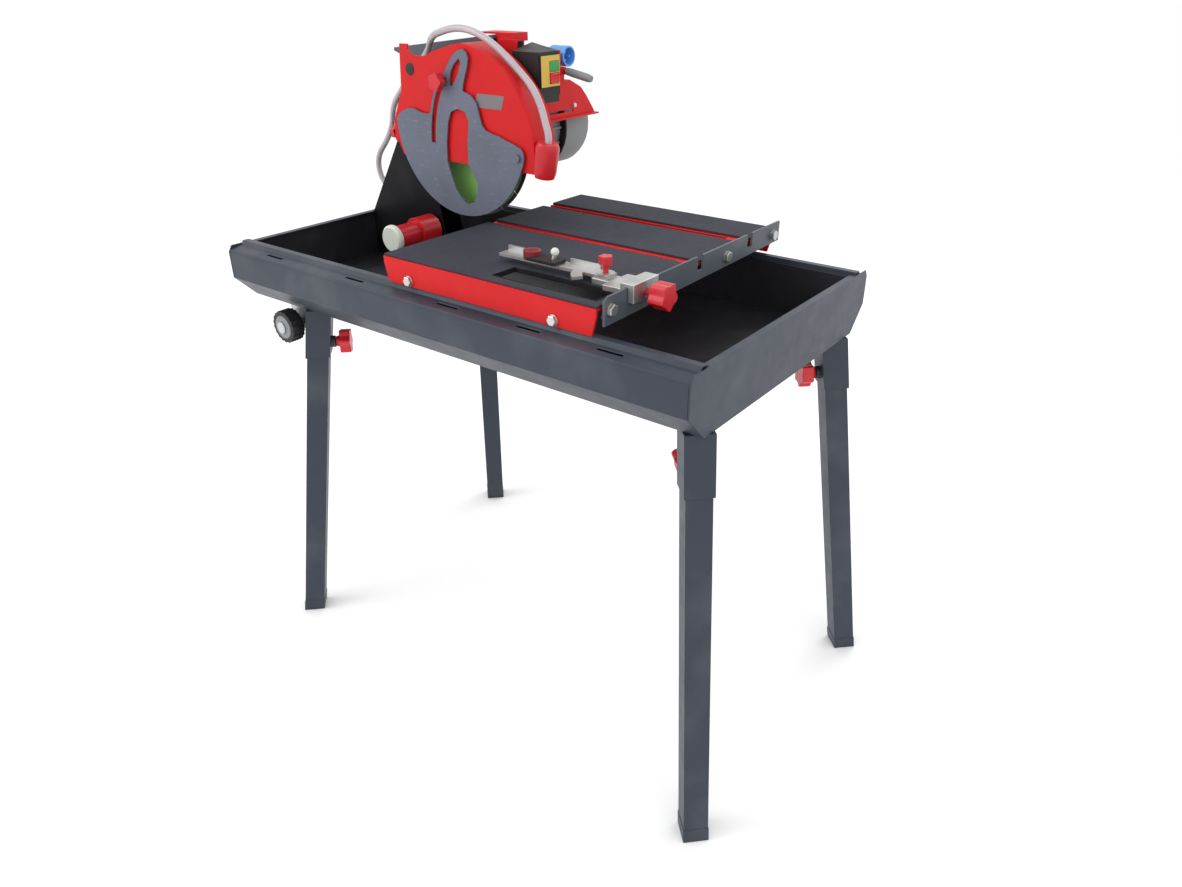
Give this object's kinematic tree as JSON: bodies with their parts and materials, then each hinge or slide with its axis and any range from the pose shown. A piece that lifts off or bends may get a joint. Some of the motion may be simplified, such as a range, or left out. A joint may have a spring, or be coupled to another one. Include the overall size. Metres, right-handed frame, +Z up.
{
  "type": "masonry saw",
  "caption": "Wet masonry saw on four splayed legs: water tray, rolling cart with fence and mitre guide, column with tilting, plunging motor head, guarded disc and pump.",
  "frame": {"origin": "centre of the overall footprint, on the floor under the feet", "axes": "+X along the tray towards the fence end where the operator stands, -Y towards the long side with the mitre guide and the guard flap, +Z up"},
  "size_m": [1.1956, 0.7036, 1.2692],
  "materials": {
    "grey_paint": "satin",
    "tray_black": "matte",
    "black_plastic": "matte",
    "black_paint": "satin",
    "red_plastic": "gloss",
    "zinc_steel": "zinc plated",
    "white_plastic": "matte",
    "clear_hose": "smooth, translucent",
    "red_paint": "gloss",
    "mat_rubber": "ribbed, matte",
    "arm_grey": "satin",
    "cast_aluminium": "cast",
    "disc_green": "satin",
    "flap_grey": "satin",
    "motor_grey": "painted",
    "cowl_grey": "matte",
    "green_plastic": "gloss",
    "blue_plastic": "matte",
    "yellow_plastic": "matte",
    "label_grey": "smooth, printed label left plain",
    "segment_metal": "sintered"
  },
  "bodies": {
    "base": {"rail_near": "grey_paint", "rail_far": "grey_paint", "panel_front": "grey_paint", "panel_rear": "grey_paint", "basin": "tray_black", "leg_socket_front_near": "grey_paint", "leg_socket_front_far": "grey_paint", "leg_socket_rear_near": "grey_paint", "leg_socket_rear_far": "grey_paint", "wheel_axle": "zinc_steel", "column": "black_paint", "pump_body": "red_plastic", "pump_strainer": "white_plastic", "hose_supply": "clear_hose", "hose_loop": "clear_hose"},
    "leg_front_near": {"leg_front_near": "grey_paint"},
    "leg_knob_front_near": {"leg_knob_front_near": "red_plastic"},
    "leg_front_far": {"leg_front_far": "grey_paint"},
    "leg_knob_front_far": {"leg_knob_front_far": "red_plastic"},
    "leg_rear_near": {"leg_rear_near": "grey_paint"},
    "leg_knob_rear_near": {"leg_knob_rear_near": "red_plastic"},
    "leg_rear_far": {"leg_rear_far": "grey_paint"},
    "leg_knob_rear_far": {"leg_knob_rear_far": "red_plastic"},
    "wheel_near": {"wheel_near": "black_plastic"},
    "wheel_far": {"wheel_far": "black_plastic"},
    "drain_plug": {"drain_plug": "black_plastic"},
    "cart": {"cart_deck": "red_paint", "mat_near": "mat_rubber", "mat_middle": "mat_rubber", "mat_far": "mat_rubber", "fence": "arm_grey"},
    "roller_rear_near": {"roller_rear_near": "white_plastic"},
    "roller_rear_far": {"roller_rear_far": "white_plastic"},
    "roller_front_near": {"roller_front_near": "white_plastic"},
    "roller_front_far": {"roller_front_far": "white_plastic"},
    "mitre_carriage": {"mitre_carriage": "cast_aluminium"},
    "mitre_clamp_knob": {"mitre_clamp_knob": "red_plastic"},
    "mitre_bar": {"mitre_bar": "cast_aluminium"},
    "mitre_lock_knob": {"mitre_lock_knob": "red_plastic"},
    "length_stop": {"length_stop": "red_plastic"},
    "tilt_head": {"tilt_bracket": "red_paint"},
    "bevel_knob": {"bevel_knob": "red_plastic"},
    "plunge_head": {"swing_arm": "arm_grey", "guard": "red_paint", "water_nozzle": "red_plastic", "motor_body": "motor_grey", "motor_ring": "black_plastic", "motor_cowl": "cowl_grey", "head_bracket": "red_paint", "grip": "cowl_grey", "switch_box": "black_plastic", "power_inlet": "blue_plastic", "hose_head": "clear_hose", "hose_link": "clear_hose"},
    "rotor": {"spindle": "zinc_steel", "blade": "disc_green"},
    "flap": {"flap": "flap_grey"},
    "flap_knob": {"flap_knob": "red_plastic"},
    "button_green": {"button_green": "green_plastic"},
    "button_red": {"button_red": "red_plastic"}
  },
  "joints": [
    {"name": "leg_slide_front_near", "type": "slide", "parent": "base", "child": "leg_front_near", "axis": [0.1131, -0.106, -0.9879], "range_m": [0, 0.09]},
    {"name": "leg_knob_turn_front_near", "type": "hinge", "parent": "base", "child": "leg_knob_front_near", "pos_m": [0.48805, -0.24695, 0.674], "axis": [-0.7071, 0.7071, 0], "range_deg": [0, 360]},
    {"name": "leg_slide_front_far", "type": "slide", "parent": "base", "child": "leg_front_far", "axis": [0.1131, 0.106, -0.9879], "range_m": [0, 0.09]},
    {"name": "leg_knob_turn_front_far", "type": "hinge", "parent": "base", "child": "leg_knob_front_far", "pos_m": [0.48805, 0.24695, 0.674], "axis": [-0.7071, -0.7071, 0], "range_deg": [0, 360]},
    {"name": "leg_slide_rear_near", "type": "slide", "parent": "base", "child": "leg_rear_near", "axis": [-0.1131, -0.106, -0.9879], "range_m": [0, 0.09]},
    {"name": "leg_knob_turn_rear_near", "type": "hinge", "parent": "base", "child": "leg_knob_rear_near", "pos_m": [-0.42715, -0.24695, 0.674], "axis": [0.7071, 0.7071, 0], "range_deg": [0, 360]},
    {"name": "leg_slide_rear_far", "type": "slide", "parent": "base", "child": "leg_rear_far", "axis": [-0.1131, 0.106, -0.9879], "range_m": [0, 0.09]},
    {"name": "leg_knob_turn_rear_far", "type": "hinge", "parent": "base", "child": "leg_knob_rear_far", "pos_m": [-0.42715, 0.24695, 0.674], "axis": [0.7071, -0.7071, 0], "range_deg": [0, 360]},
    {"name": "wheel_spin_near", "type": "hinge", "parent": "base", "child": "wheel_near", "pos_m": [-0.47025, -0.283, 0.712], "axis": [0, 1, 0], "continuous": true},
    {"name": "wheel_spin_far", "type": "hinge", "parent": "base", "child": "wheel_far", "pos_m": [-0.47025, 0.283, 0.712], "axis": [0, 1, 0], "continuous": true},
    {"name": "drain_plug_lift", "type": "slide", "parent": "base", "child": "drain_plug", "axis": [0, 0, 1], "range_m": [0, 0.06]},
    {"name": "cart_slide", "type": "slide", "parent": "base", "child": "cart", "axis": [1, 0, 0], "range_m": [-0.2, 0.15]},
    {"name": "roller_spin_rear_near", "type": "hinge", "parent": "cart", "child": "roller_rear_near", "pos_m": [-0.08825, -0.2675, 0.879], "axis": [0, 1, 0], "range_deg": [-1080, 810]},
    {"name": "roller_spin_rear_far", "type": "hinge", "parent": "cart", "child": "roller_rear_far", "pos_m": [-0.08825, 0.2735, 0.879], "axis": [0, 1, 0], "range_deg": [-1080, 810]},
    {"name": "roller_spin_front_near", "type": "hinge", "parent": "cart", "child": "roller_front_near", "pos_m": [0.23775, -0.2675, 0.879], "axis": [0, 1, 0], "range_deg": [-1080, 810]},
    {"name": "roller_spin_front_far", "type": "hinge", "parent": "cart", "child": "roller_front_far", "pos_m": [0.23775, 0.2735, 0.879], "axis": [0, 1, 0], "range_deg": [-1080, 810]},
    {"name": "mitre_carriage_slide", "type": "slide", "parent": "cart", "child": "mitre_carriage", "axis": [0, 1, 0], "range_m": [-0.03, 0.06]},
    {"name": "mitre_clamp_turn", "type": "hinge", "parent": "mitre_carriage", "child": "mitre_clamp_knob", "pos_m": [0.32675, -0.18, 0.918], "axis": [1, 0, 0], "range_deg": [0, 360]},
    {"name": "mitre_bar_swing", "type": "hinge", "parent": "mitre_carriage", "child": "mitre_bar", "pos_m": [0.26475, -0.18, 0.93], "axis": [0, 0, 1], "range_deg": [0, 45]},
    {"name": "mitre_lock_turn", "type": "hinge", "parent": "mitre_bar", "child": "mitre_lock_knob", "pos_m": [0.26475, -0.18, 0.94], "axis": [0, 0, 1], "range_deg": [0, 360]},
    {"name": "length_stop_slide", "type": "slide", "parent": "mitre_bar", "child": "length_stop", "axis": [1, 0, 0], "range_m": [-0.025, 0.05]},
    {"name": "bevel_tilt", "type": "hinge", "parent": "base", "child": "tilt_head", "pos_m": [-0.40125, 0.04, 1.11], "axis": [1, 0, 0], "range_deg": [0, 45], "deforming": ["hose_loop"]},
    {"name": "bevel_knob_turn", "type": "hinge", "parent": "tilt_head", "child": "bevel_knob", "pos_m": [-0.40525, 0.004, 1.062], "axis": [-1, 0, 0], "range_deg": [0, 360]},
    {"name": "head_plunge", "type": "hinge", "parent": "tilt_head", "child": "plunge_head", "pos_m": [-0.34525, 0.098, 1.11], "axis": [0, -1, 0], "range_deg": [-4, 25], "deforming": ["hose_link"]},
    {"name": "disc_spin", "type": "hinge", "parent": "plunge_head", "child": "rotor", "pos_m": [-0.19325, 0, 1.075], "axis": [0, 1, 0], "continuous": true},
    {"name": "flap_swing", "type": "hinge", "parent": "plunge_head", "child": "flap", "pos_m": [-0.04025, -0.0365, 1.055], "axis": [0, 1, 0], "range_deg": [0, 30]},
    {"name": "flap_knob_turn", "type": "hinge", "parent": "plunge_head", "child": "flap_knob", "pos_m": [-0.21954, -0.05, 1.17457], "axis": [0, -1, 0], "range_deg": [0, 360]},
    {"name": "button_green_press", "type": "slide", "parent": "plunge_head", "child": "button_green", "axis": [-1, 0, 0], "range_m": [0, 0.003], "stiffness_N_per_m": 400},
    {"name": "button_red_press", "type": "slide", "parent": "plunge_head", "child": "button_red", "axis": [-1, 0, 0], "range_m": [0, 0.003], "stiffness_N_per_m": 400}
  ],
  "couplings": [
    {"joint": "roller_spin_rear_near", "follows": "cart_slide", "rad_per_m": 93.458},
    {"joint": "roller_spin_rear_far", "follows": "cart_slide", "rad_per_m": 93.458},
    {"joint": "roller_spin_front_near", "follows": "cart_slide", "rad_per_m": 93.458},
    {"joint": "roller_spin_front_far", "follows": "cart_slide", "rad_per_m": 93.458}
  ]
}
